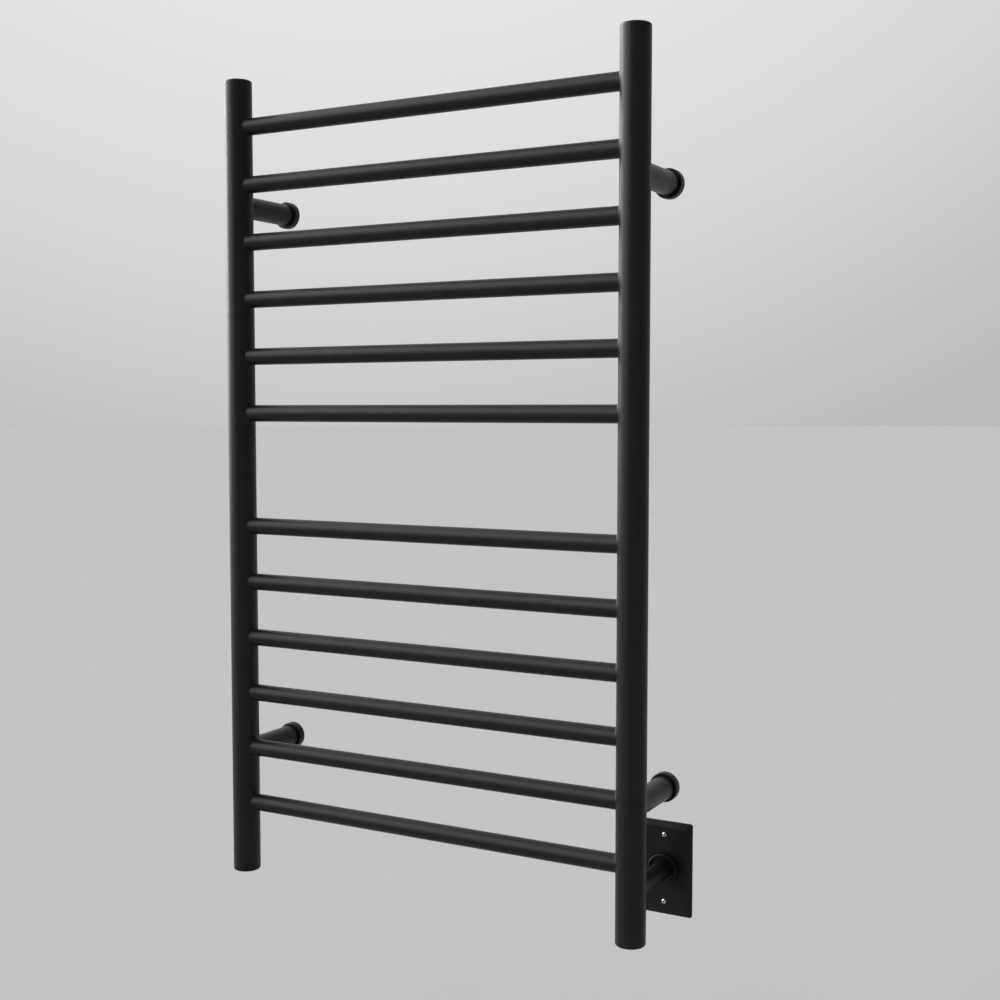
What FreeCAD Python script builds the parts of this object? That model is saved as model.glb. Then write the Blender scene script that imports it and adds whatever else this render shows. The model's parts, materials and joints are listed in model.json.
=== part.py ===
import FreeCAD, Part
import os
from math import tan

# Hard-wired, wall-hung towel warmer rack, in millimetres.
# +X is to the right of a person facing the rack, +Y runs back to the wall and +Z is up.
# The origin is the centre of the four wall fixings, on the wall plane.

V = FreeCAD.Vector
RIGHT = V(1, 0, 0)
BACK = V(0, 1, 0)
FRONT = V(0, -1, 0)
UP = V(0, 0, 1)
DOWN = V(0, 0, -1)

# Posts and their end caps
HEIGHT = 1050.0
POST_SPACING = 564.0      # from axis to axis
POST_R = 18.0
POST_WALL = 1.5
POST_Y = -107.0           # the plane of the post and bar axes, measured from the wall
CAP_DISC = 4.0
CAP_EDGE_R = 2.5
CAP_SPIGOT = 8.0
CAP_SPIGOT_WALL = 2.0

# Crossbars: evenly spaced places from the top down, one of them left open for folded towels
BAR_R = 11.0
BAR_WALL = 1.2
BAR_PITCH = 74.6
TOP_BAR_Z = 464.0
BAR_PLACES = 13
OPEN_PLACE = 6
TUBE_END = 12.0           # from a post's axis to the end of a bar or of the conduit inside it

# Wall mounts: standoff on the post, anchor on the wall, cover ring over both
MOUNT_Z = 363.0
STANDOFF_R = 14.5
STANDOFF_WALL = 3.0
STANDOFF_REAR = -4.5
ANCHOR_FLANGE_R = 16.2
ANCHOR_FLANGE = 4.0
SPIGOT_LENGTH = 26.0
SPIGOT_CHAMFER = 1.0
SLIDING_GAP = 0.05        # radial, between parts that slide on each other
WALL_HOLE_R = 2.75
WALL_HEAD_R = 5.2
WALL_HEAD_SEAT = -9.0

# Cover rings and their grip seals
RING_R = 18.0
RING_FRONT = -10.5
RING_REAR = -0.3
RING_STEP = -4.8
RING_POCKET_R = 16.7
RING_EDGE_R = 2.2
RING_LIP_R = 0.5
SEAL_Y = -7.6
SEAL_SECTION_R = 0.9
SEAL_SIDE_GAP = 0.05

# Set screws that clamp the standoffs to the anchors
SCREW_Y = -8.0
SCREW_R = 2.0
SCREW_SINK = 0.2          # head end below the standoff's surface
KEY_FLATS = 2.0
KEY_DEPTH = 1.3
SCREW_CHAMFER = 0.3

# Electrical cover plate, a pressed shell over a single wall box
PLATE_WIDTH = 71.0
PLATE_HEIGHT = 116.0
PLATE_DEPTH = 5.0
PLATE_EDGE = 2.6          # depth of the upright edge, before the bevel
PLATE_BEVEL = 7.0
PLATE_CORNER_R = 3.0
PLATE_FACE_CORNER_R = 1.5
PLATE_SHEET = 1.5
PLATE_Z = -464.0
PLATE_HOLE_R = 12.0
GASKET_THICK = 1.0
GASKET_BAND = 5.0
GASKET_GAP = 0.2

# Box screws
BOX_SPACING = 83.3
BOX_SCREW_R = 1.75
BOX_SCREW_REACH = 18.0
BOX_HEAD_R = 2.75
BOX_HEAD_CONE = 1.4
BOX_HEAD_DOME = 0.6
BOX_HOLE_GAP = 0.25
CROSS_WIDTH = 0.9
CROSS_SPAN = 3.2
CROSS_DEPTH = 1.4

# Conduit from the right-hand post to the box, its ring and its bushing
CONDUIT_R = 11.0
CONDUIT_WALL = 1.2
CONDUIT_REACH = 28.0
HUB_R = 18.6
HUB_THICK = 6.5
HUB_LIP = 2.2
HUB_DISH = 3.6            # depth of the hollow inside the lip
HUB_EDGE_R = 1.0
HUB_SEAL_SECTION_R = 0.75
BUSHING_DEPTH = 8.0
BUSHING_FLANGE = 2.0

# Wiring inside the tubes
CABLE_R = 2.0
CABLE_BEND_R = 14.0
CABLE_OFFSET = 4.0        # from the post's axis, away from the bars
LEAD_R = 1.1
LEAD_BEND_R = 8.0
JUMPER_R = 0.9
SLEEVE_R = 2.8
SLEEVE_LENGTH = 14.0
SLEEVE_GRIP = 6.0
LOWER_SLEEVE_Z = -494.0
UPPER_SLEEVE_Z = 482.0
LOOP_RISE = 6.0           # from the end of a sleeve to the top of the loop beyond it
RETURN_BACK = 9.0         # the return lead runs this far behind the post's axis
RETURN_RISE = 2.0         # and this far above the conduit's axis
LIVE_OFFSET = -6.0
EARTH_DROP = -6.0
CUTOFF_R = 3.0
CUTOFF_CHAMFER = 0.8
JUMPER_LOOP = 11.0
EARTH_Z = -495.0
EARTH_STUD_R = 2.0
EARTH_COLLAR_R = 3.5
EARTH_STUD_TIP = -112.5
TAG_Y = -117.5
TAG_THICK = 0.8
TAG_R = 4.0
TAG_NECK = 2.4
TAG_BARREL_R = 1.9
TAG_BARREL_LOW = 6.0
TAG_BARREL_HIGH = 12.0
NUT_FLATS = 7.0
NUT_THICK = 3.2

# Worked out from the above
POST_X = POST_SPACING / 2
POST_INNER_R = POST_R - POST_WALL
TUBE_HALF = HEIGHT / 2 - CAP_DISC
BAR_ZS = [TOP_BAR_Z - BAR_PITCH * place for place in range(BAR_PLACES) if place != OPEN_PLACE]
STANDOFF_BORE_R = STANDOFF_R - STANDOFF_WALL
SPIGOT_R = STANDOFF_BORE_R - SLIDING_GAP
CONDUIT_BORE_R = CONDUIT_R - CONDUIT_WALL
CONDUIT_FRONT = POST_Y + TUBE_END
WIRE_END = CONDUIT_REACH + BUSHING_FLANGE
CABLE_X = POST_X + CABLE_OFFSET
LIVE_X = POST_X + LIVE_OFFSET
RETURN_Y = POST_Y + RETURN_BACK
SIDES = {"left": -1, "right": 1}
CORNERS = [
    (f"{level}_{side}", sx * POST_X, sz * MOUNT_Z)
    for level, sz in (("upper", 1), ("lower", -1))
    for side, sx in SIDES.items()
]
NEAR = 1e-6


def rod(radius, start, direction, length):
    return Part.makeCylinder(radius, length, start, direction)


def tube(outer_r, inner_r, start, direction, length):
    return rod(outer_r, start, direction, length).cut(rod(inner_r, start, direction, length))


def circle_edges(shape, radius, along, place):
    """The circular edges of one radius whose centres lie at one place along an axis."""
    return [
        edge for edge in shape.Edges
        if isinstance(edge.Curve, Part.Circle)
        and abs(edge.Curve.Radius - radius) < NEAR
        and abs(edge.Curve.Center.dot(along) - place) < NEAR
    ]


def hexagon_bar(flats, start, direction, sideways, length):
    """A hexagonal bar with its axis along direction and a corner towards sideways."""
    turn = FreeCAD.Rotation(direction, 60)
    arm = sideways * (flats / 3 ** 0.5)
    corners = [start + arm]
    for _ in range(6):
        arm = turn.multVec(arm)
        corners.append(start + arm)
    return Part.Face(Part.makePolygon(corners)).extrude(direction * length)


def rounded_panel(width, height, corner_r, y, thickness):
    """A flat panel with round corners, facing the room, from y to y + thickness."""
    corner = V(-width / 2, y, -height / 2)
    panel = Part.makeBox(width, thickness, height, corner)
    uprights = [
        edge for edge in panel.Edges
        if edge.tangentAt(edge.FirstParameter).cross(BACK).Length < NEAR
    ]
    return panel.makeFillet(corner_r, uprights)


def outline(panel, y):
    """The outer wire of the panel's face that lies at y."""
    faces = [face for face in panel.Faces if abs(face.CenterOfMass.y - y) < NEAR]
    return max(faces, key=lambda face: face.Area).OuterWire


def bent_path(corners, radii):
    """Straight runs joined by tangent arcs, with one radius for each inner corner."""
    edges = []
    last = corners[0]
    for before, corner, after, radius in zip(corners, corners[1:], corners[2:], radii):
        incoming = (corner - before).normalize()
        outgoing = (after - corner).normalize()
        setback = radius * tan(incoming.getAngle(outgoing) / 2)
        inward = (outgoing - incoming).normalize()
        centre = corner + inward * (setback ** 2 + radius ** 2) ** 0.5
        arc_start = corner - incoming * setback
        arc_end = corner + outgoing * setback
        if (arc_start - last).Length > NEAR:
            edges.append(Part.LineSegment(last, arc_start).toShape())
        edges.append(Part.Arc(arc_start, centre - inward * radius, arc_end).toShape())
        last = arc_end
    edges.append(Part.LineSegment(last, corners[-1]).toShape())
    return Part.Wire(edges)


def wire(name, radius, corners, radii):
    """A round wire along a bent path. Its volume has to be its section times its length."""
    path = bent_path(corners, radii)
    section = Part.Wire(Part.makeCircle(radius, corners[0], corners[1] - corners[0]))
    solid = path.makePipeShell([section], True, False)
    expected = Part.Face(section).Area * path.Length
    print(f"{name}: {path.Length:.0f} mm long, volume {solid.Volume / expected:.4f} of section x length")
    return solid


def post(side, sx):
    """A post tube, drilled for the crossbars, and on the right for the conduit too."""
    x = sx * POST_X
    shape = tube(POST_R, POST_INNER_R, V(x, POST_Y, -TUBE_HALF), UP, 2 * TUBE_HALF)
    holes = [rod(BAR_R, V(x, POST_Y, z), RIGHT * -sx, 2 * POST_R) for z in BAR_ZS]
    if side == "right":
        holes.append(rod(CONDUIT_R, V(x, POST_Y, PLATE_Z), BACK, 2 * POST_R))
    return shape.cut(holes)


def crossbar(z):
    half = POST_X - TUBE_END
    return tube(BAR_R, BAR_R - BAR_WALL, V(-half, POST_Y, z), RIGHT, 2 * half)


def post_cap(sx, sz):
    """A disc with a softly rounded rim and a hollow spigot that fills the end of the post."""
    end = V(sx * POST_X, POST_Y, sz * HEIGHT / 2)
    inward = UP * -sz
    disc = rod(POST_R, end, inward, CAP_DISC)
    disc = disc.makeFillet(CAP_EDGE_R, circle_edges(disc, POST_R, UP, end.z))
    under = end + inward * CAP_DISC
    return disc.fuse(tube(POST_INNER_R, POST_INNER_R - CAP_SPIGOT_WALL, under, inward, CAP_SPIGOT))


def standoff(x, z):
    """A tube saddle-cut to the back of the post, tapped underneath for the set screw."""
    length = STANDOFF_REAR - POST_Y
    blank = tube(STANDOFF_R, STANDOFF_BORE_R, V(x, POST_Y, z), BACK, length)
    saddle = rod(POST_R, V(x, POST_Y, z - POST_R), UP, 2 * POST_R)
    tapping = rod(SCREW_R + SLIDING_GAP, V(x, SCREW_Y, z), DOWN, 2 * STANDOFF_R)
    return blank.cut([saddle, tapping])


def wall_anchor(x, z):
    """A flanged spigot that a single wall screw holds, with a deep seat for the screw's head."""
    flange = rod(ANCHOR_FLANGE_R, V(x, 0, z), FRONT, ANCHOR_FLANGE)
    spigot = rod(SPIGOT_R, V(x, -ANCHOR_FLANGE, z), FRONT, SPIGOT_LENGTH)
    tip_y = -ANCHOR_FLANGE - SPIGOT_LENGTH
    spigot = spigot.makeChamfer(SPIGOT_CHAMFER, circle_edges(spigot, SPIGOT_R, BACK, tip_y))
    screw_hole = rod(WALL_HOLE_R, V(x, 0, z), FRONT, ANCHOR_FLANGE + SPIGOT_LENGTH)
    head_seat = rod(WALL_HEAD_R, V(x, WALL_HEAD_SEAT, z), FRONT, SPIGOT_LENGTH)
    return flange.fuse(spigot).cut([screw_hole, head_seat])


def seal_groove(x, z, y, bore_r, section_r):
    half = section_r + SEAL_SIDE_GAP
    return rod(bore_r + 2 * section_r + SEAL_SIDE_GAP, V(x, y - half, z), BACK, 2 * half)


def grip_seal(x, z, y, bore_r, section_r):
    """A rubber ring that lets its cover ring slide, and holds it where it is left."""
    return Part.makeTorus(bore_r + section_r, section_r, V(x, y, z), BACK)


def cover_ring(x, z):
    """Slides on the standoff and hides the anchor's flange, with a round front edge."""
    bore_r = STANDOFF_R + SLIDING_GAP
    shape = rod(RING_R, V(x, RING_REAR, z), FRONT, RING_REAR - RING_FRONT)
    shape = shape.makeFillet(RING_EDGE_R, circle_edges(shape, RING_R, BACK, RING_FRONT))
    shape = shape.cut(rod(bore_r, V(x, 0, z), FRONT, RING_R))
    shape = shape.makeFillet(RING_LIP_R, circle_edges(shape, bore_r, BACK, RING_FRONT))
    pocket = rod(RING_POCKET_R, V(x, 0, z), FRONT, -RING_STEP)
    return shape.cut([pocket, seal_groove(x, z, SEAL_Y, bore_r, SEAL_SECTION_R)])


def set_screw(x, z):
    """A headless screw with a hexagon socket, its flat tip against the anchor's spigot."""
    tip = V(x, SCREW_Y, z - STANDOFF_BORE_R)
    head_z = z - STANDOFF_R + SCREW_SINK
    length = tip.z - head_z
    shape = rod(SCREW_R, tip, DOWN, length)
    shape = shape.makeChamfer(SCREW_CHAMFER, circle_edges(shape, SCREW_R, UP, tip.z))
    return shape.cut(hexagon_bar(KEY_FLATS, V(x, SCREW_Y, head_z), UP, RIGHT, KEY_DEPTH))


def plate_form(inset):
    """The plate's outer form, or, with an inset, the hollow behind its sheet."""
    width = PLATE_WIDTH - 2 * inset
    height = PLATE_HEIGHT - 2 * inset
    bevel = 2 * PLATE_BEVEL
    front = inset - PLATE_DEPTH
    shoulder = inset - PLATE_EDGE
    edge = rounded_panel(width, height, PLATE_CORNER_R - inset, shoulder, -shoulder)
    face = rounded_panel(width - bevel, height - bevel, PLATE_FACE_CORNER_R, front, PLATE_DEPTH)
    slope = Part.makeLoft([outline(edge, shoulder), outline(face, front)], True, True)
    form = edge.fuse(slope).removeSplitter()
    return form.translate(V(POST_X, 0, PLATE_Z))


def box_screw_zs():
    return [PLATE_Z + BOX_SPACING / 2, PLATE_Z - BOX_SPACING / 2]


def box_head(z, gap):
    """An oval screw head sunk in the plate, or, with a gap, the hole that it sits in."""
    radius = BOX_HEAD_R + gap
    face = V(POST_X, -PLATE_DEPTH, z)
    return Part.makeCone(radius, BOX_SCREW_R + gap, BOX_HEAD_CONE, face, BACK)


def cover_plate():
    """A pressed sheet shell with bevelled sides, a conduit hole and two screw holes."""
    shell = plate_form(0).cut(plate_form(PLATE_SHEET))
    holes = [rod(PLATE_HOLE_R, V(POST_X, 0, PLATE_Z), FRONT, PLATE_DEPTH)]
    for z in box_screw_zs():
        holes.append(rod(BOX_SCREW_R + BOX_HOLE_GAP, V(POST_X, 0, z), FRONT, PLATE_DEPTH))
        holes.append(box_head(z, BOX_HOLE_GAP))
    return shell.cut(holes)


def box_screw(z):
    """An oval-head screw with a cross recess."""
    face = V(POST_X, -PLATE_DEPTH, z)
    sphere_r = (BOX_HEAD_R ** 2 + BOX_HEAD_DOME ** 2) / (2 * BOX_HEAD_DOME)
    sphere = Part.makeSphere(sphere_r, face + BACK * (sphere_r - BOX_HEAD_DOME))
    dome = sphere.common(rod(BOX_HEAD_R, face, FRONT, BOX_HEAD_DOME))
    shank = rod(BOX_SCREW_R, face, BACK, PLATE_DEPTH + BOX_SCREW_REACH)
    screw = box_head(z, 0).fuse([dome, shank])
    recess_y = -PLATE_DEPTH - BOX_HEAD_DOME
    for width, height in ((CROSS_SPAN, CROSS_WIDTH), (CROSS_WIDTH, CROSS_SPAN)):
        corner = V(POST_X - width / 2, recess_y, z - height / 2)
        screw = screw.cut(Part.makeBox(width, CROSS_DEPTH, height, corner))
    return screw


def plate_gasket():
    """A foam band behind the plate's rim, flush with the wall."""
    inset = 2 * (PLATE_SHEET + GASKET_GAP)
    corner_r = PLATE_CORNER_R - PLATE_SHEET
    width = PLATE_WIDTH - inset
    height = PLATE_HEIGHT - inset
    band = 2 * GASKET_BAND
    outer = rounded_panel(width, height, corner_r, -GASKET_THICK, GASKET_THICK)
    inner = rounded_panel(width - band, height - band, corner_r, -GASKET_THICK, GASKET_THICK)
    return outer.cut(inner).translate(V(POST_X, 0, PLATE_Z))


def hub_ring():
    """A dished ring that slides on the conduit and closes the gap around it in the plate."""
    rear = V(POST_X, -PLATE_DEPTH, PLATE_Z)
    bore_r = CONDUIT_R + SLIDING_GAP
    shape = rod(HUB_R, rear, FRONT, HUB_THICK)
    shape = shape.makeFillet(HUB_EDGE_R, circle_edges(shape, HUB_R, BACK, -PLATE_DEPTH - HUB_THICK))
    dish = rod(HUB_R - HUB_LIP, rear + FRONT * HUB_THICK, BACK, HUB_DISH)
    groove = seal_groove(POST_X, PLATE_Z, hub_seal_y(), bore_r, HUB_SEAL_SECTION_R)
    return shape.cut([rod(bore_r, rear, FRONT, HUB_THICK), dish, groove])


def hub_seal_y():
    return -PLATE_DEPTH - (HUB_THICK - HUB_DISH) / 2


def conduit():
    """Carries the wires from the foot of the right-hand post through the plate."""
    start = V(POST_X, CONDUIT_FRONT, PLATE_Z)
    return tube(CONDUIT_R, CONDUIT_BORE_R, start, BACK, CONDUIT_REACH - CONDUIT_FRONT)


def conduit_bushing():
    """A flanged plug that holds the three wires apart at the conduit's mouth."""
    mouth = V(POST_X, CONDUIT_REACH, PLATE_Z)
    plug = rod(CONDUIT_BORE_R, mouth, FRONT, BUSHING_DEPTH)
    shape = plug.fuse(rod(CONDUIT_R, mouth, BACK, BUSHING_FLANGE))
    places = [
        V(CABLE_X, WIRE_END, PLATE_Z + RETURN_RISE),
        V(LIVE_X, WIRE_END, PLATE_Z),
        V(POST_X, WIRE_END, PLATE_Z + EARTH_DROP),
    ]
    return shape.cut([rod(LEAD_R, place, FRONT, BUSHING_DEPTH + BUSHING_FLANGE) for place in places])


def heating_cable():
    """One length that climbs through every crossbar, turning back inside the posts."""
    x = CABLE_X
    corners = [V(x, POST_Y, LOWER_SLEEVE_Z + SLEEVE_LENGTH - SLEEVE_GRIP)]
    for z in reversed(BAR_ZS):
        corners.append(V(x, POST_Y, z))
        x = -x
        corners.append(V(x, POST_Y, z))
    corners.append(V(x, POST_Y, UPPER_SLEEVE_Z + SLEEVE_GRIP))
    return wire("heating cable", CABLE_R, corners, [CABLE_BEND_R] * (len(corners) - 2))


def return_lead():
    """From the cable's upper end over a small loop, down the right-hand post and out."""
    loop_z = UPPER_SLEEVE_Z + SLEEVE_LENGTH + LOOP_RISE
    exit_z = PLATE_Z + RETURN_RISE
    corners = [
        V(CABLE_X, POST_Y, UPPER_SLEEVE_Z + SLEEVE_LENGTH - SLEEVE_GRIP),
        V(CABLE_X, POST_Y, loop_z),
        V(CABLE_X, RETURN_Y, loop_z),
        V(CABLE_X, RETURN_Y, exit_z),
        V(CABLE_X, WIRE_END, exit_z),
    ]
    return wire("return lead", LEAD_R, corners, [RETURN_BACK / 2, RETURN_BACK / 2, LEAD_BEND_R])


def live_lead():
    corners = [
        V(LIVE_X, WIRE_END, PLATE_Z),
        V(LIVE_X, POST_Y, PLATE_Z),
        V(LIVE_X, POST_Y, LOWER_SLEEVE_Z + SLEEVE_LENGTH),
    ]
    return wire("live lead", LEAD_R, corners, [LEAD_BEND_R])


def jumper_lead():
    """Joins the thermal cutoff to the cable's lower end with a small loop."""
    low = LOWER_SLEEVE_Z - JUMPER_LOOP
    corners = [
        V(LIVE_X, POST_Y, LOWER_SLEEVE_Z),
        V(LIVE_X, POST_Y, low),
        V(CABLE_X, POST_Y, low),
        V(CABLE_X, POST_Y, LOWER_SLEEVE_Z + SLEEVE_GRIP),
    ]
    bend = (CABLE_X - LIVE_X) / 2
    return wire("jumper lead", JUMPER_R, corners, [bend, bend])


def earth_lead():
    corners = [
        V(POST_X, WIRE_END, PLATE_Z + EARTH_DROP),
        V(POST_X, TAG_Y, PLATE_Z + EARTH_DROP),
        V(POST_X, TAG_Y, EARTH_Z + TAG_BARREL_LOW),
    ]
    return wire("earth lead", LEAD_R, corners, [LEAD_BEND_R])


def thermal_cutoff():
    shape = rod(CUTOFF_R, V(LIVE_X, POST_Y, LOWER_SLEEVE_Z), UP, SLEEVE_LENGTH)
    rims = circle_edges(shape, CUTOFF_R, UP, LOWER_SLEEVE_Z)
    rims += circle_edges(shape, CUTOFF_R, UP, LOWER_SLEEVE_Z + SLEEVE_LENGTH)
    return shape.makeChamfer(CUTOFF_CHAMFER, rims)


def crimp_sleeve(low_z, low_wire_r, high_wire_r):
    """A crimp that grips one wire from below and one from above."""
    low = V(CABLE_X, POST_Y, low_z)
    high = low + UP * SLEEVE_LENGTH
    sockets = [rod(low_wire_r, low, UP, SLEEVE_GRIP), rod(high_wire_r, high, DOWN, SLEEVE_GRIP)]
    return rod(SLEEVE_R, low, UP, SLEEVE_LENGTH).cut(sockets)


def earth_stud():
    """A welded stud with a shoulder, its root shaped to the inside of the post's front wall."""
    root = V(POST_X, POST_Y - POST_R, EARTH_Z)
    shoulder_length = TAG_Y - TAG_THICK / 2 - root.y
    shape = rod(EARTH_COLLAR_R, root, BACK, shoulder_length)
    shape = shape.fuse(rod(EARTH_STUD_R, root, BACK, EARTH_STUD_TIP - root.y))
    bore = rod(POST_INNER_R, V(POST_X, POST_Y, EARTH_Z - POST_R), UP, 2 * POST_R)
    return shape.common(bore)


def earth_tag():
    """A ring terminal with a barrel for the earth lead."""
    front = V(POST_X, TAG_Y - TAG_THICK / 2, EARTH_Z)
    ring = tube(TAG_R, EARTH_STUD_R, front, BACK, TAG_THICK)
    neck_height = TAG_BARREL_LOW - EARTH_STUD_R
    neck_corner = front + V(-TAG_NECK / 2, 0, EARTH_STUD_R)
    neck = Part.makeBox(TAG_NECK, TAG_THICK, neck_height, neck_corner)
    neck = neck.cut(rod(TAG_R, front, BACK, TAG_THICK))
    barrel_low = V(POST_X, TAG_Y, EARTH_Z + TAG_BARREL_LOW)
    barrel = tube(TAG_BARREL_R, LEAD_R, barrel_low, UP, TAG_BARREL_HIGH - TAG_BARREL_LOW)
    return ring.fuse([neck, barrel])


def earth_nut():
    start = V(POST_X, TAG_Y + TAG_THICK / 2, EARTH_Z)
    blank = hexagon_bar(NUT_FLATS, start, BACK, UP, NUT_THICK)
    return blank.cut(rod(EARTH_STUD_R, start, BACK, NUT_THICK))


def all_parts():
    parts = {}
    for side, sx in SIDES.items():
        parts[f"{side}_post"] = post(side, sx)
        parts[f"{side}_top_cap"] = post_cap(sx, 1)
        parts[f"{side}_bottom_cap"] = post_cap(sx, -1)
    for number, z in enumerate(BAR_ZS, 1):
        parts[f"crossbar_{number:02d}"] = crossbar(z)
    for corner, x, z in CORNERS:
        parts[f"standoff_{corner}"] = standoff(x, z)
        parts[f"wall_anchor_{corner}"] = wall_anchor(x, z)
        parts[f"cover_ring_{corner}"] = cover_ring(x, z)
        parts[f"grip_seal_{corner}"] = grip_seal(x, z, SEAL_Y, STANDOFF_R + SLIDING_GAP, SEAL_SECTION_R)
        parts[f"set_screw_{corner}"] = set_screw(x, z)
    parts["cover_plate"] = cover_plate()
    parts["plate_screws"] = Part.makeCompound([box_screw(z) for z in box_screw_zs()])
    parts["plate_gasket"] = plate_gasket()
    parts["hub_ring"] = hub_ring()
    parts["hub_seal"] = grip_seal(
        POST_X, PLATE_Z, hub_seal_y(), CONDUIT_R + SLIDING_GAP, HUB_SEAL_SECTION_R
    )
    parts["conduit"] = conduit()
    parts["conduit_bushing"] = conduit_bushing()
    parts["heating_cable"] = heating_cable()
    parts["return_lead"] = return_lead()
    parts["live_lead"] = live_lead()
    parts["jumper_lead"] = jumper_lead()
    parts["earth_lead"] = earth_lead()
    parts["thermal_cutoff"] = thermal_cutoff()
    parts["lower_splice"] = crimp_sleeve(LOWER_SLEEVE_Z, JUMPER_R, CABLE_R)
    parts["upper_splice"] = crimp_sleeve(UPPER_SLEEVE_Z, CABLE_R, LEAD_R)
    parts["earth_stud"] = earth_stud()
    parts["earth_tag"] = earth_tag()
    parts["earth_nut"] = earth_nut()
    return parts


os.makedirs("parts", exist_ok=True)
for node, shape in all_parts().items():
    shape.exportStep(f"parts/{node}.step")
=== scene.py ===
import json
from math import cos, pi, radians, sin, sqrt, tan

import bmesh
import bpy
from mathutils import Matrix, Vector


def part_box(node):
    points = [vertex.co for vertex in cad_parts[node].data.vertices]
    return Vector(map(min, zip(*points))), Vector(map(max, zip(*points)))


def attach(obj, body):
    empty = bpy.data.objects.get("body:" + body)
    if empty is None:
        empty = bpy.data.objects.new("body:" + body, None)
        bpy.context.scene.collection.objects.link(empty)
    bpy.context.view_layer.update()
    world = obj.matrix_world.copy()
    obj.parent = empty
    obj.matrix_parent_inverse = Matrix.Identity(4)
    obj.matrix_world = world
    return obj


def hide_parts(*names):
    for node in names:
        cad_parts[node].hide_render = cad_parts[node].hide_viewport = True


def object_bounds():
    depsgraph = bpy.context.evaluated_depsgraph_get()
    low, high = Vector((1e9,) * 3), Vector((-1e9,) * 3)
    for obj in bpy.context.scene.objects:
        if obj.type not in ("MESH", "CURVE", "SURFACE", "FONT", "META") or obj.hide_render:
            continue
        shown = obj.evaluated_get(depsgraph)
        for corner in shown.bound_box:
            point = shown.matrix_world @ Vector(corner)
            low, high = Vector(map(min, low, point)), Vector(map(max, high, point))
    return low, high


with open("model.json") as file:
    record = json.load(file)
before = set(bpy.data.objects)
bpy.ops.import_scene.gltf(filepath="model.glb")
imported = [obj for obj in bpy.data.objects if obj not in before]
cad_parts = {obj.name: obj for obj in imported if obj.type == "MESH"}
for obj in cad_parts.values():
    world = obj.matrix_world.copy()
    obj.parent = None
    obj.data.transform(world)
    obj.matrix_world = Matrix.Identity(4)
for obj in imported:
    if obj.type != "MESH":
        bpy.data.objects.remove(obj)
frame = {"nodes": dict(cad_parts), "record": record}
cad_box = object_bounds()

# Everything is in metres, in the CAD frame: +X right, +Y back to the wall, +Z up.
MM = 0.001
RIGHT = Vector((1, 0, 0))
BACK = Vector((0, 1, 0))
UP = Vector((0, 0, 1))
CORNERS = ("upper_left", "upper_right", "lower_left", "lower_right")
ROUND = 128              # sides of a large round part
FINE_ROUND = 64          # sides of a small one
SMOOTH_ANGLE = radians(32)
TINY = 1e-7


# ---------------------------------------------------------------- sizes, from the frame where it has them

def centre(node):
    low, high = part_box(node)
    return (low + high) / 2


def half_width(node):
    low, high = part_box(node)
    return (high.x - low.x) / 2


def half_height(node):
    low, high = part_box(node)
    return (high.z - low.z) / 2


def upright_axis(node):
    """The point at Z = 0 on a node's centre line, for a node that stands upright."""
    middle = centre(node)
    return Vector((middle.x, middle.y, 0))


def level_axis(node):
    """The point on the wall plane on the centre line of a node that lies square to the wall."""
    middle = centre(node)
    return Vector((middle.x, 0, middle.z))


POST_R = half_width("left_post")
POST_WALL = 1.5 * MM
BAR_R = half_height("crossbar_01")
BAR_COUNT = 12
STANDOFF_R = half_width("standoff_upper_left")
STANDOFF_WALL = 3.0 * MM
CONDUIT_R = half_width("conduit")
CONDUIT_WALL = 1.2 * MM
MOUTH_BEVEL = 0.3 * MM   # on both edges of a tube's open end
MOUTH_DEPTH = 60 * MM    # how far the bore runs in from a tube's open end
WELD = 1.3 * MM          # how far a weld's concave fillet reaches along each surface
SLIDE = 0.05 * MM        # radial gap of a sliding fit


# ---------------------------------------------------------------- mesh building

def soften(points, radii, steps=6):
    """A closed 2-D outline with each corner turned into an arc; a radius of 0 leaves it sharp."""
    outline = []
    for i, radius in enumerate(radii):
        corner = Vector(points[i])
        if radius == 0:
            outline.append(corner)
            continue
        before = (Vector(points[i - 1]) - corner).normalized()
        after = (Vector(points[(i + 1) % len(points)]) - corner).normalized()
        half = before.angle(after) / 2
        arc_centre = corner + (before + after).normalized() * (radius / sin(half))
        spoke = corner + before * (radius / tan(half)) - arc_centre
        turn = pi - 2 * half
        if before.x * after.y - before.y * after.x > 0:
            turn = -turn
        for k in range(steps + 1):
            angle = turn * k / steps
            outline.append(arc_centre + Vector((
                spoke.x * cos(angle) - spoke.y * sin(angle),
                spoke.x * sin(angle) + spoke.y * cos(angle),
            )))
    return outline


def skin(name, loops, closed=False):
    """A smooth-shaded closed surface through loops of points. A loop of one point is a pole."""
    bm = bmesh.new()
    rows = [[bm.verts.new(point) for point in loop] for loop in loops]
    pairs = list(zip(rows, rows[1:]))
    if closed:
        pairs.append((rows[-1], rows[0]))
    for first, second in pairs:
        count = max(len(first), len(second))
        for i in range(count):
            j = (i + 1) % count
            if len(first) == 1:
                face = (first[0], second[j], second[i])
            elif len(second) == 1:
                face = (first[i], first[j], second[0])
            else:
                face = (first[i], first[j], second[j], second[i])
            bm.faces.new(face)
    if not closed:
        for row in (rows[0], rows[-1]):
            if len(row) > 1:
                bm.faces.new(row)
    bmesh.ops.recalc_face_normals(bm, faces=bm.faces)
    mesh = bpy.data.meshes.new(name)
    bm.to_mesh(mesh)
    bm.free()
    piece = bpy.data.objects.new(name, mesh)
    bpy.context.scene.collection.objects.link(piece)
    shade(piece)
    return piece


def shade(piece):
    mesh = piece.data
    mesh.polygons.foreach_set("use_smooth", [True] * len(mesh.polygons))
    mesh.set_sharp_from_angle(angle=SMOOTH_ANGLE)


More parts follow.
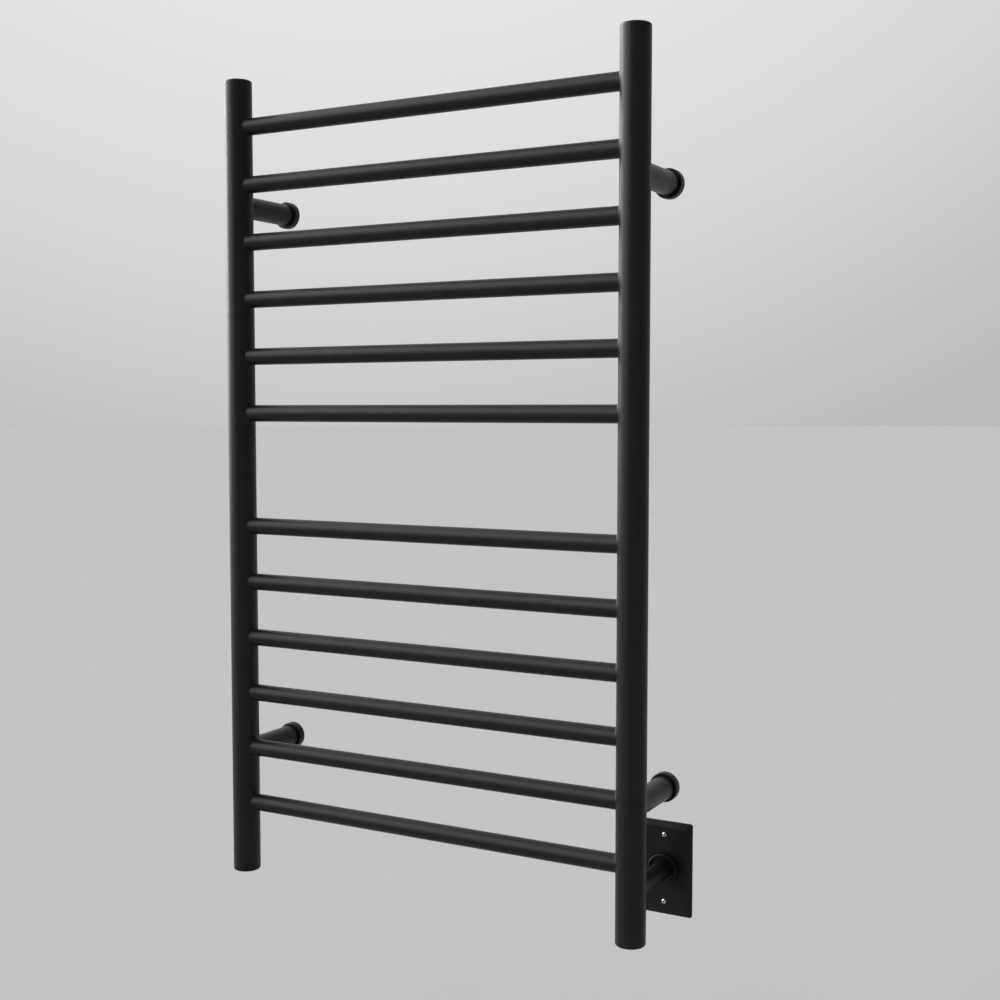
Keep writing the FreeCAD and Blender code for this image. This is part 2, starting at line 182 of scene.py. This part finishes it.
def circle(middle, radius, along, sides):
    """A loop of points round an axis, or a pole where the radius is nothing."""
    if radius < TINY:
        return [middle]
    across = RIGHT if abs(along.x) < 0.5 else BACK
    other = along.cross(across)
    angles = [2 * pi * i / sides for i in range(sides)]
    return [middle + across * (radius * cos(a)) + other * (radius * sin(a)) for a in angles]


def lathe(name, outline, origin, along, closed=True, sides=ROUND):
    """Turns an outline of (radius, place along the axis) points about an axis."""
    loops = [circle(origin + along * place, radius, along, sides) for radius, place in outline]
    return skin(name, loops, closed)


def drill(name, flank, origin, along, sides):
    """A round cutter with flat ends, from the (radius, place along the axis) points of its flank."""
    start = flank[0][1]
    end = flank[-1][1]
    outline = [(0.0, start), *flank, (0.0, end)]
    return lathe(name, outline, origin, along, closed=False, sides=sides)


def cut(piece, cutters):
    """Cuts other closed pieces out of a piece, and removes them."""
    for cutter in cutters:
        modifier = piece.modifiers.new("cut", "BOOLEAN")
        modifier.operation = "DIFFERENCE"
        modifier.solver = "EXACT"
        modifier.object = cutter
    bpy.context.view_layer.update()
    depsgraph = bpy.context.evaluated_depsgraph_get()
    result = bpy.data.meshes.new_from_object(piece.evaluated_get(depsgraph))
    piece.modifiers.clear()
    piece.data = result
    for cutter in cutters:
        bpy.data.objects.remove(cutter)
    shade(piece)


def join(name, parts):
    """Several meshes as one piece of separate closed solids."""
    bm = bmesh.new()
    for part in parts:
        bm.from_mesh(part.data)
        bpy.data.objects.remove(part)
    mesh = bpy.data.meshes.new(name)
    bm.to_mesh(mesh)
    bm.free()
    piece = bpy.data.objects.new(name, mesh)
    bpy.context.scene.collection.objects.link(piece)
    shade(piece)
    return piece


def root_loops(post_axis, outward, side, radius, sides):
    """Loops of a tube's welded root on a post: from a pole inside the post to the plain tube.

    The tube's axis meets the post's axis at post_axis and runs along outward. side is the level
    direction across the tube, the same for both ends of a bar so that their points line up.
    """
    angles = [2 * pi * i / sides for i in range(sides)]
    steps = 6
    taper = 0.9          # of the end sunk in the post, so that it stays clear of the post's face
    pole = POST_R / 3    # how far out from the post's axis the closed end lies

    def ring(reach):
        """For each angle: the offset across the tube, and where it meets the post."""
        spread = radius + reach
        offsets = [side * (spread * cos(a)) + UP * (spread * sin(a)) for a in angles]
        meets = [sqrt(POST_R ** 2 - (spread * cos(a)) ** 2) for a in angles]
        return offsets, meets

    near, near_meets = ring(0)
    wide, wide_meets = ring(WELD)
    sunk = [
        post_axis + outward * (meet - 2 * WELD) + offset * taper
        for offset, meet in zip(near, near_meets)
    ]
    loops = [[post_axis + outward * pole], sunk]
    for k in range(steps + 1):
        t = k / steps
        loop = []
        for offset, meet, far_offset, far_meet in zip(near, near_meets, wide, wide_meets):
            on_post = outward * far_meet + far_offset
            at_corner = outward * meet + offset
            on_tube = outward * (meet + WELD) + offset
            point = on_post * (1 - t) ** 2 + at_corner * (2 * t * (1 - t)) + on_tube * t ** 2
            loop.append(post_axis + point)
        loops.append(loop)
    return loops


# ---------------------------------------------------------------- procedural materials

TEXTURE_MIDDLE = (0.3, 0.7)      # a noise or cell texture's values lie mostly between these
MIX_FROM, MIX_TO, MIX_RESULT = 6, 7, 2      # a mix node's sockets for colours
RECESS_SHADE_DEPTH = 0.45 * MM          # where the painted shade begins, behind the front of a screw's head
RECESS_SHADE_FADE = 0.35 * MM           # over how much depth the painted shade comes on


class Nodes:
    """A short way to write a material's node tree."""

    def __init__(self, name):
        self.material = bpy.data.materials.new(name)
        self.material.use_nodes = True
        self.tree = self.material.node_tree
        self.shader = self.tree.nodes["Principled BSDF"]
        self.place = self.tree.nodes.new("ShaderNodeTexCoord").outputs["Object"]

    def link(self, out, into):
        self.tree.links.new(out, into)

    def noise(self, scale, detail=3.0, roughness=0.5, stretch=None):
        node = self.tree.nodes.new("ShaderNodeTexNoise")
        node.inputs["Scale"].default_value = scale
        node.inputs["Detail"].default_value = detail
        node.inputs["Roughness"].default_value = roughness
        self.link(self.stretched(stretch), node.inputs["Vector"])
        return node.outputs["Fac"]

    def cells(self, scale):
        node = self.tree.nodes.new("ShaderNodeTexVoronoi")
        node.inputs["Scale"].default_value = scale
        self.link(self.place, node.inputs["Vector"])
        return node.outputs["Distance"]

    def stretched(self, stretch):
        if stretch is None:
            return self.place
        node = self.tree.nodes.new("ShaderNodeMapping")
        node.inputs["Scale"].default_value = stretch
        self.link(self.place, node.inputs["Vector"])
        return node.outputs["Vector"]

    def spread(self, value, low, high):
        """Maps the middle of a texture's range onto low to high."""
        node = self.tree.nodes.new("ShaderNodeMapRange")
        node.inputs["From Min"].default_value = TEXTURE_MIDDLE[0]
        node.inputs["From Max"].default_value = TEXTURE_MIDDLE[1]
        node.inputs["To Min"].default_value = low
        node.inputs["To Max"].default_value = high
        self.link(value, node.inputs["Value"])
        return node.outputs["Result"]

    def tint(self, value, dark, light):
        node = self.tree.nodes.new("ShaderNodeValToRGB")
        ramp = node.color_ramp.elements
        for stop, position, colour in zip(ramp, TEXTURE_MIDDLE, (dark, light)):
            stop.position = position
            stop.color = (*colour, 1)
        self.link(value, node.inputs["Fac"])
        self.link(node.outputs["Color"], self.shader.inputs["Base Color"])

    def darken_behind(self, y, depth, colour):
        """Fades the base colour to another one over a depth behind a place on the Y axis."""
        split = self.tree.nodes.new("ShaderNodeSeparateXYZ")
        fade = self.tree.nodes.new("ShaderNodeMapRange")
        fade.inputs["From Min"].default_value = y
        fade.inputs["From Max"].default_value = y + depth
        mix = self.tree.nodes.new("ShaderNodeMix")
        mix.data_type = "RGBA"
        base = self.shader.inputs["Base Color"]
        self.link(self.place, split.inputs["Vector"])
        self.link(split.outputs["Y"], fade.inputs["Value"])
        self.link(fade.outputs["Result"], mix.inputs["Factor"])
        self.link(base.links[0].from_socket, mix.inputs[MIX_FROM])
        mix.inputs[MIX_TO].default_value = (*colour, 1)
        self.link(mix.outputs[MIX_RESULT], base)

    def metal(self):
        self.shader.inputs["Metallic"].default_value = 1.0

    def specular(self, level):
        self.shader.inputs["Specular IOR Level"].default_value = level

    def rough(self, value, low, high):
        self.link(self.spread(value, low, high), self.shader.inputs["Roughness"])

    def bump(self, *layers):
        """Stacks bumps, each a (texture value, height in metres) pair."""
        normal = None
        for value, height in layers:
            node = self.tree.nodes.new("ShaderNodeBump")
            node.inputs["Strength"].default_value = 1.0
            node.inputs["Distance"].default_value = height
            self.link(value, node.inputs["Height"])
            if normal is not None:
                self.link(normal, node.inputs["Normal"])
            normal = node.outputs["Normal"]
        self.link(normal, self.shader.inputs["Normal"])


def powder_coat(name, dark, light, low, high):
    """Satin black powder coat: a fine grain over a shallow orange peel, with uneven gloss."""
    nodes = Nodes(name)
    nodes.tint(nodes.noise(55, 5), dark, light)
    nodes.rough(nodes.noise(120, 4), low, high)
    nodes.specular(0.20)
    nodes.bump((nodes.noise(420, 2), 0.10 * MM), (nodes.noise(1700, 2), 0.08 * MM))
    return nodes.material


def zinc_plate():
    """Dull zinc on the wall anchors: faintly clouded, with fine marks from turning."""
    nodes = Nodes("zinc_plate")
    nodes.metal()
    nodes.tint(nodes.noise(240, 5), (0.42, 0.43, 0.45), (0.51, 0.52, 0.53))
    nodes.rough(nodes.noise(160, 4), 0.32, 0.46)
    nodes.bump((nodes.noise(90, 3, stretch=(1, 60, 1)), 0.02 * MM))
    return nodes.material


def nickel_plate():
    """Brushed satin nickel on the plate's screws, with painted shade that darkens it to near black behind
    the head's front, down in the cross recess and pit.
    """
    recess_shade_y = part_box("plate_screws")[0].y + RECESS_SHADE_DEPTH
    nodes = Nodes("nickel_plate")
    nodes.metal()
    nodes.tint(nodes.noise(500, 3, stretch=(1, 1, 9)), (0.62, 0.61, 0.58), (0.80, 0.79, 0.76))
    # painted shade: the base colour fades to near black deeper than the head's front, so the cross
    # recess, the pit and everything behind them read as shaded
    nodes.darken_behind(recess_shade_y, RECESS_SHADE_FADE, (0.012, 0.011, 0.010))
    nodes.rough(nodes.noise(700, 3, stretch=(1, 1, 9)), 0.22, 0.36)
    nodes.bump((nodes.noise(1500, 2, stretch=(1, 1, 9)), 0.01 * MM))
    return nodes.material


def black_oxide():
    """Black oxide on the set screws."""
    nodes = Nodes("black_oxide")
    nodes.metal()
    nodes.tint(nodes.noise(900, 3), (0.035, 0.035, 0.04), (0.08, 0.08, 0.085))
    nodes.rough(nodes.noise(600, 3), 0.35, 0.5)
    nodes.bump((nodes.noise(2500, 2), 0.01 * MM))
    return nodes.material


def brass():
    """Brass on the earth stud and its fittings, with turning marks round the stud."""
    nodes = Nodes("turned_brass")
    nodes.metal()
    nodes.tint(nodes.noise(300, 4), (0.62, 0.44, 0.18), (0.80, 0.60, 0.28))
    nodes.rough(nodes.noise(500, 3), 0.2, 0.38)
    nodes.bump((nodes.noise(900, 2, stretch=(1, 8, 1)), 0.01 * MM))
    return nodes.material


def drawn_case():
    """The thermal cutoff's drawn metal case, streaked along its length."""
    nodes = Nodes("drawn_case")
    nodes.metal()
    nodes.tint(nodes.noise(200, 3), (0.60, 0.60, 0.62), (0.75, 0.75, 0.77))
    nodes.rough(nodes.noise(400, 3, stretch=(9, 9, 1)), 0.25, 0.4)
    nodes.bump((nodes.noise(900, 2, stretch=(9, 9, 1)), 0.01 * MM))
    return nodes.material


def rubber():
    """Matt black rubber with a fine moulded grain."""
    nodes = Nodes("black_rubber")
    nodes.tint(nodes.noise(300, 4), (0.012, 0.012, 0.012), (0.022, 0.022, 0.022))
    nodes.rough(nodes.noise(500, 3), 0.6, 0.8)
    nodes.bump((nodes.noise(2200, 2), 0.02 * MM))
    return nodes.material


def foam():
    """Closed-cell foam: small cells that show as pits."""
    nodes = Nodes("grey_foam")
    cells = nodes.cells(1400)
    nodes.tint(cells, (0.05, 0.05, 0.052), (0.02, 0.02, 0.021))
    nodes.rough(nodes.noise(200, 3), 0.8, 0.95)
    nodes.bump((cells, 0.15 * MM))
    return nodes.material


def moulded(name, dark, light, low, high):
    """Moulded nylon or a smooth wire jacket."""
    nodes = Nodes(name)
    nodes.tint(nodes.noise(140, 3), dark, light)
    nodes.rough(nodes.noise(260, 3), low, high)
    nodes.bump((nodes.noise(1300, 2), 0.012 * MM))
    return nodes.material


def woven_jacket():
    """The heating cable's silicone jacket, with a fine braid showing through."""
    nodes = Nodes("silicone_jacket")
    nodes.tint(nodes.noise(220, 3), (0.32, 0.06, 0.03), (0.46, 0.11, 0.05))
    nodes.rough(nodes.noise(300, 3), 0.45, 0.6)
    nodes.bump((nodes.cells(900), 0.06 * MM))
    return nodes.material


SLOT_MATERIALS = {
    "powder_coat": powder_coat(
        "satin_powder_coat", (0.0042, 0.0042, 0.0045), (0.0068, 0.0068, 0.0071), 0.33, 0.42),
    "plate_coat": powder_coat(
        "plate_powder_coat", (0.004, 0.004, 0.0043), (0.007, 0.007, 0.0073), 0.38, 0.47),
    "anchor_steel": zinc_plate(),
    "screw_steel": nickel_plate(),
    "black_screw_steel": black_oxide(),
    "seal_rubber": rubber(),
    "gasket_foam": foam(),
    "bushing_nylon": moulded("black_nylon", (0.022, 0.022, 0.022), (0.035, 0.035, 0.035), 0.45, 0.6),
    "cable_silicone": woven_jacket(),
    "lead_white": moulded("white_insulation", (0.70, 0.70, 0.67), (0.80, 0.80, 0.78), 0.3, 0.4),
    "lead_black": moulded("black_insulation", (0.015, 0.015, 0.015), (0.025, 0.025, 0.025), 0.3, 0.4),
    "lead_green": moulded("green_insulation", (0.02, 0.24, 0.06), (0.04, 0.33, 0.09), 0.3, 0.4),
    "cutoff_case": drawn_case(),
    "splice_nylon": moulded("pale_nylon", (0.62, 0.56, 0.42), (0.76, 0.70, 0.55), 0.3, 0.42),
    "earth_brass": brass(),
}


def finish_piece(piece, body, slot, *nodes):
    """Gives a piece the material of its slot and its body, and hides the CAD nodes that it replaces."""
    piece.data.materials.clear()
    piece.data.materials.append(SLOT_MATERIALS[slot])
    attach(piece, body)
    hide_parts(*nodes)


def dress_cad_nodes():
    """Gives every CAD node the material of its slot in the record."""
    for row in frame["record"]["subparts"]:
        mesh = frame["nodes"][row["node"]].data
        mesh.materials.clear()
        mesh.materials.append(SLOT_MATERIALS[row["material_slot"]])
        mesh.polygons.foreach_set("material_index", [0] * len(mesh.polygons))


# ---------------------------------------------------------------- posts and caps

def make_post(side):
    """A straight tube, which its two caps close."""
    node = f"{side}_post"
    low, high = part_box(node)
    inner = POST_R - POST_WALL
    outline = [(POST_R, low.z), (POST_R, high.z), (inner, high.z), (inner, low.z)]
    piece = lathe(f"{side}_post_tube", outline, upright_axis(node), UP)
    finish_piece(piece, "rack", "powder_coat", node)


def make_cap(side, end):
    """A disc ground flush with the post: a soft rim and a barely crowned face."""
    node = f"{side}_{end}_cap"
    low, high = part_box(node)
    outward = UP if end == "top" else -UP
    face = high.z if end == "top" else -low.z
    seam = face - 4 * MM
    spigot = face - 9 * MM
    crown = 0.15 * MM
    rim_r = 2.6 * MM
    inner = POST_R - POST_WALL
    rim = soften(
        [(0.0, face), (POST_R, face - crown), (POST_R, seam), (inner, seam)],
        [0, rim_r, 0, 0],
        steps=10,
    )
    outline = [*rim, (inner, spigot), (0.0, spigot)]
    piece = lathe(f"{side}_{end}_cap_disc", outline, upright_axis(node), outward, closed=False)
    finish_piece(piece, "rack", "powder_coat", node)


# ---------------------------------------------------------------- crossbars

def make_bar(number):
    """A tube welded to both posts."""
    node = f"crossbar_{number:02d}"
    level = UP * centre(node).z
    start = root_loops(upright_axis("left_post") + level, RIGHT, BACK, BAR_R, FINE_ROUND)
    end = root_loops(upright_axis("right_post") + level, -RIGHT, BACK, BAR_R, FINE_ROUND)
    piece = skin(f"bar_{number:02d}", start + end[::-1])
    finish_piece(piece, "rack", "powder_coat", node)


# ---------------------------------------------------------------- standoffs and their rings

def open_tube(name, node, post, radius, wall, sides):
    """A tube welded to the back of a post, open at its rear end."""
    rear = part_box(node)[1].y
    axis = centre(node)
    root = Vector((axis.x, centre(post).y, axis.z))
    loops = root_loops(root, BACK, RIGHT, radius, sides)
    bore = radius - wall
    angles = [2 * pi * i / sides for i in range(sides)]
    for spread, y in (
        (radius, rear - MOUTH_BEVEL),
        (radius - MOUTH_BEVEL, rear),
        (bore + MOUTH_BEVEL, rear),
        (bore, rear - MOUTH_BEVEL),
        (bore, rear - MOUTH_DEPTH),
    ):
        middle = Vector((axis.x, y, axis.z))
        loops.append([middle + RIGHT * (spread * cos(a)) + UP * (spread * sin(a)) for a in angles])
    loops.append([Vector((axis.x, rear - MOUTH_DEPTH, axis.z))])
    return skin(name, loops)


def make_standoff(corner):
    """A standoff tube with the hole for its set screw underneath."""
    node = f"standoff_{corner}"
    post = "left_post" if "left" in corner else "right_post"
    piece = open_tube(f"standoff_tube_{corner}", node, post, STANDOFF_R, STANDOFF_WALL, ROUND)
    screw = centre(f"set_screw_{corner}")
    hole_r = half_width(f"set_screw_{corner}") + SLIDE
    below = -6 * MM
    above = 3 * MM
    cut(piece, [drill("tapping", [(hole_r, below), (hole_r, above)], screw, UP, FINE_ROUND)])
    finish_piece(piece, "rack", "powder_coat", node)


def make_cover_ring(corner):
    """A ring that slides on the standoff, grooved for its seal and hollow over the anchor's flange."""
    node = f"cover_ring_{corner}"
    low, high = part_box(node)
    radius = half_width(node)
    bore = STANDOFF_R + SLIDE
    pocket = radius - 1.3 * MM
    step = high.y - 4.5 * MM
    groove = bore + 1.85 * MM
    seal_y = centre(f"grip_seal_{corner}").y
    groove_front = seal_y - 0.95 * MM
    groove_rear = seal_y + 0.95 * MM
    rear_r = 0.3 * MM
    front_r = 1.4 * MM
    lip_r = 0.5 * MM
    outline = soften(
        [
            (radius, high.y), (radius, low.y), (bore, low.y),
            (bore, groove_front), (groove, groove_front), (groove, groove_rear), (bore, groove_rear),
            (bore, step), (pocket, step), (pocket, high.y),
        ],
        [rear_r, front_r, lip_r, 0, 0, 0, 0, 0, 0, rear_r],
    )
    piece = lathe(f"wall_ring_{corner}", outline, level_axis(node), BACK)
    finish_piece(piece, f"ring_{corner}", "powder_coat", node)


# ---------------------------------------------------------------- cover plate and its screws

def panel_loop(middle, half_x, half_z, corner_r, y, steps=8):
    """A round-cornered rectangle of points facing the room."""
    loop = []
    for quarter, (sx, sz) in enumerate(((1, 1), (-1, 1), (-1, -1), (1, -1))):
        for k in range(steps + 1):
            angle = (quarter + k / steps) * pi / 2
            x = sx * (half_x - corner_r) + corner_r * cos(angle)
            z = sz * (half_z - corner_r) + corner_r * sin(angle)
            loop.append(Vector((middle.x + x, y, middle.z + z)))
    return loop


def plate_section(depth):
    """The pressed sheet's section, as (inset from the rim, depth towards the room) points.

    It runs from the innermost point of the inside face, round the rim, to that of the outside face.
    """
    sheet = 1.5 * MM
    bevel = 7.0 * MM
    flat = 4 * bevel / 3     # far enough in to lie on the flat face
    edge = 2.4 * MM          # height of the rim's upright outside
    tip_r = 0.25 * MM
    rim_r = 1.2 * MM
    fold_r = 7.0 * MM
    inner_fold_r = 4.0 * MM
    inner_rim_r = 0.6 * MM
    section = soften(
        [
            (0.0, 0.0), (0.0, edge), (bevel, depth), (flat, depth),
            (flat, depth - sheet), (bevel, depth - sheet), (sheet, edge - sheet / 2), (sheet, 0.0),
        ],
        [tip_r, rim_r, fold_r, 0, 0, inner_fold_r, inner_rim_r, tip_r],
        steps=7,
    )
    last = max(range(len(section)), key=lambda i: (round(section[i].x, 7), section[i].y))
    return section[last + 1:] + section[:last + 1]


def make_cover_plate():
    """A pressed sheet with soft bevels, cut for the conduit and the two screws."""
    node = "cover_plate"
    low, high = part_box(node)
    middle = centre(node)
    depth = high.y - low.y
    half_x = (high.x - low.x) / 2
    half_z = (high.z - low.z) / 2
    corner_r = 3.0 * MM
    least_corner_r = 1.0 * MM
    loops = []
    for inset, out in plate_section(depth):
        shrunk_r = max(corner_r - inset / 2, least_corner_r)
        loops.append(panel_loop(middle, half_x - inset, half_z - inset, shrunk_r, -out))
    plate = skin("wall_plate", loops)
    front = -9 * MM          # the holes' cutters reach past the sheet on both sides
    rear = 3 * MM
    hub_hole_r = 12 * MM
    hub_hole = [(hub_hole_r, front), (hub_hole_r, rear)]
    relief_r = 5.0 * MM
    seat_r = 3.0 * MM
    shank_r = 2.0 * MM
    countersink = [(relief_r, -5.05 * MM), (seat_r, -4.97 * MM), (shank_r, -3.6 * MM)]
    screw_hole = [(relief_r, front), *countersink, (shank_r, rear)]
    holes = [drill("hub_hole", hub_hole, level_axis(node), BACK, ROUND)]
    for z in screw_levels():
        holes.append(drill("screw_hole", screw_hole, Vector((middle.x, 0, z)), BACK, FINE_ROUND))
    cut(plate, holes)
    finish_piece(plate, "wall_side", "plate_coat", node)


def screw_levels():
    """The heights of the plate's two screws."""
    low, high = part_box("plate_screws")
    head_r = half_width("plate_screws")
    return [high.z - head_r, low.z + head_r]


def thread(name, origin, start, end, root, crest, pitch, sides=32):
    """A helical thread along +Y, closed at both ends."""
    rows_per_turn = 8
    rows = int((end - start) / pitch * rows_per_turn)
    loops = [[origin + BACK * start]]
    for row in range(rows + 1):
        y = start + (end - start) * row / rows
        fade = min(1.0, (end - y) / pitch)
        loop = []
        for i in range(sides):
            turn = i / sides
            wave = abs(2 * ((y / pitch - turn) % 1.0) - 1)
            radius = root + (crest - root) * wave * fade
            angle = 2 * pi * turn
            loop.append(origin + BACK * y + RIGHT * (radius * cos(angle)) + UP * (radius * sin(angle)))
        loops.append(loop)
    loops.append([origin + BACK * end])
    return skin(name, loops)


def screw_head(origin, face, head_r):
    """An oval countersunk head, with a cross recess and a pit at its middle."""
    dome = 0.6 * MM
    rings = 8
    crown = [(head_r * k / rings, face + dome * (k / rings) ** 2) for k in range(rings + 1)]
    rim_y = face + 0.75 * MM
    neck_r = 1.75 * MM
    neck_y = face + 2.0 * MM
    tip_y = face + 2.6 * MM      # inside the shank
    outline = [*crown, (head_r, rim_y), (neck_r, neck_y), (0.0, tip_y)]
    head = lathe("head", outline, origin, BACK, closed=False, sides=FINE_ROUND)
    recess = [cross_arm(origin, face, sideways) for sideways in (RIGHT, UP)]
    pit_y = face - 0.5 * MM      # the pit's cutter begins in front of the head
    pit_r = 0.95 * MM
    floor_r = 0.75 * MM
    floor_y = face + 1.6 * MM
    point_y = face + 1.9 * MM
    pit = [(0.0, pit_y), (pit_r, pit_y), (floor_r, floor_y), (0.0, point_y)]
    recess.append(lathe("pit", pit, origin, BACK, closed=False, sides=FINE_ROUND))
    cut(head, recess)
    return head


def make_plate_screws():
    """The two box screws, with threaded shanks that reach into the wall box."""
    low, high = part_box("plate_screws")
    middle = centre("plate_screws")
    head_r = half_width("plate_screws")
    shank_y = low.y + 2.5 * MM
    root_r = 1.35 * MM
    crest_r = 1.74 * MM
    pitch = 0.79 * MM
    parts = []
    for z in screw_levels():
        origin = Vector((middle.x, 0, z))
        parts.append(screw_head(origin, low.y, head_r))
        parts.append(thread("shank", origin, shank_y, high.y, root_r, crest_r, pitch))
    piece = join("plate_screw_pair", parts)
    finish_piece(piece, "wall_side", "screw_steel", "plate_screws")


def cross_arm(origin, face, sideways):
    """A tapered slot across the head; two of them make the cross recess."""
    across = UP if sideways is RIGHT else RIGHT
    sections = (          # depth behind the head's front, half length, half width
        (-0.5 * MM, 1.65 * MM, 0.48 * MM),
        (0.1 * MM, 1.6 * MM, 0.45 * MM),
        (1.5 * MM, 0.7 * MM, 0.3 * MM),
    )
    loops = []
    for depth, long_half, short_half in sections:
        spot = origin + BACK * (face + depth)
        loops.append([
            spot + sideways * (a * long_half) + across * (b * short_half)
            for a, b in ((1, 1), (-1, 1), (-1, -1), (1, -1))
        ])
    return skin("arm", loops)


# ---------------------------------------------------------------- conduit and its ring

def make_hub_ring():
    """A dished ring with a rolled lip, and a groove for its seal in the thin web."""
    node = "hub_ring"
    low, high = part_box(node)
    radius = half_width(node)
    seal_low, seal_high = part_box("hub_seal")
    groove = half_width("hub_seal")
    bore = CONDUIT_R + SLIDE
    lip = 2.2 * MM
    dish = low.y + 3.6 * MM
    rear_r = 0.2 * MM
    lip_r = 1.05 * MM
    dish_r = 0.8 * MM
    bore_r = 0.25 * MM
    mouth_r = 0.1 * MM
    outline = soften(
        [
            (radius, high.y), (radius, low.y), (radius - lip, low.y), (radius - lip, dish),
            (bore, dish), (bore, seal_low.y), (groove, seal_low.y), (groove, seal_high.y),
            (bore, seal_high.y), (bore, high.y),
        ],
        [rear_r, lip_r, lip_r, dish_r, bore_r, 0, 0, 0, 0, mouth_r],
        steps=8,
    )
    piece = lathe("plate_hub", outline, level_axis(node), BACK)
    finish_piece(piece, "hub", "powder_coat", node)


def make_conduit():
    """The tube that brings the supply from the wall into the right-hand post."""
    piece = open_tube("conduit_tube", "conduit", "right_post", CONDUIT_R, CONDUIT_WALL, FINE_ROUND)
    finish_piece(piece, "rack", "powder_coat", "conduit")


# ---------------------------------------------------------------- floor, light and camera

FLOOR_DROP = 0.30        # the floor lies this far below the posts
FLOOR_RINGS = (0.0, 1.0, 4.0, 12.0, 80.0)
FLOOR_THICK = 0.02
BRIGHT_SIDE = Vector((-0.45, 0.65, 0.60))
STUDIO_GREYS = (         # place, from the dim side at 0 to the bright side at 1, and colour
    (0.45, (0.34, 0.34, 0.345)),
    (0.87, (0.50, 0.50, 0.50)),
    (0.98, (0.84, 0.84, 0.84)),
)
SUNS = (                 # name, direction it shines from, strength, apparent size in degrees
    ("front_left", (-0.66, -0.60, 0.42), 2.0, 50),
    ("overhead", (-0.10, -0.25, 0.96), 0.6, 40),
    ("left_side", (-0.93, 0.05, 0.42), 4.8, 50),
)
LENS = 50.0              # in millimetres, on a sensor 36 mm wide
SENSOR = 36.0
CAMERA_PLACE = (0.9085, -1.5633, 0.0958)
CAMERA_DOWN = 3.719      # in degrees
CAMERA_LEFT = 28.762


def make_floor():
    """A matt, pale studio floor."""
    level = cad_box[0].z - FLOOR_DROP
    outline = [(r, level) for r in FLOOR_RINGS]
    outline += [(r, level - FLOOR_THICK) for r in FLOOR_RINGS[::-1]]
    floor = lathe("floor", outline, Vector((0, 0, 0)), UP, closed=False)
    nodes = Nodes("pale_floor")
    nodes.tint(nodes.noise(3.0, 4), (0.345, 0.345, 0.342), (0.355, 0.355, 0.352))
    nodes.rough(nodes.noise(6, 4), 0.88, 1.0)
    nodes.specular(0.0)
    nodes.bump((nodes.noise(180, 3), 0.1 * MM))
    floor.data.materials.append(nodes.material)


def make_world():
    """A pale studio: bright behind and to the left of the rack, dim on the room side at the right."""
    world = bpy.data.worlds.new("studio")
    bpy.context.scene.world = world
    world.use_nodes = True
    tree = world.node_tree
    background = tree.nodes["Background"]
    place = tree.nodes.new("ShaderNodeTexCoord")
    facing = tree.nodes.new("ShaderNodeVectorMath")
    facing.operation = "DOT_PRODUCT"
    facing.inputs[1].default_value = BRIGHT_SIDE.normalized()
    ramp = tree.nodes.new("ShaderNodeValToRGB")
    reach = tree.nodes.new("ShaderNodeMapRange")
    reach.inputs["From Min"].default_value = -1.0
    reach.inputs["From Max"].default_value = 1.0
    stops = ramp.color_ramp.elements
    stops.new(STUDIO_GREYS[1][0])
    for stop, (position, grey) in zip(stops, STUDIO_GREYS):
        stop.position = position
        stop.color = (*grey, 1)
    tree.links.new(place.outputs["Generated"], facing.inputs[0])
    tree.links.new(facing.outputs["Value"], reach.inputs["Value"])
    tree.links.new(reach.outputs["Result"], ramp.inputs["Fac"])
    tree.links.new(ramp.outputs["Color"], background.inputs["Color"])


def soft_sun(name, direction, strength, spread):
    """A far softbox: it lights the whole floor evenly and shows as a wide, soft reflection."""
    data = bpy.data.lights.new(name, "SUN")
    data.energy = strength
    data.angle = radians(spread)
    lamp = bpy.data.objects.new(name, data)
    lamp.rotation_euler = (-Vector(direction)).to_track_quat("-Z", "Y").to_euler()
    bpy.context.scene.collection.objects.link(lamp)


def make_camera():
    """Stands in front and to the right of the rack, just above its middle."""
    data = bpy.data.cameras.new("camera")
    data.lens = LENS
    data.sensor_width = SENSOR
    camera = bpy.data.objects.new("camera", data)
    camera.location = CAMERA_PLACE
    camera.rotation_euler = (radians(90 - CAMERA_DOWN), 0, radians(CAMERA_LEFT))
    bpy.context.scene.collection.objects.link(camera)
    bpy.context.scene.camera = camera


# ---------------------------------------------------------------- the scene

make_camera()
dress_cad_nodes()
for side in ("left", "right"):
    make_post(side)
    for end in ("top", "bottom"):
        make_cap(side, end)
for number in range(1, BAR_COUNT + 1):
    make_bar(number)
for corner in CORNERS:
    make_standoff(corner)
    make_cover_ring(corner)
make_cover_plate()
make_plate_screws()
make_hub_ring()
make_conduit()
make_floor()
make_world()
for sun in SUNS:
    soft_sun(*sun)
bpy.context.scene.view_settings.view_transform = "Standard"
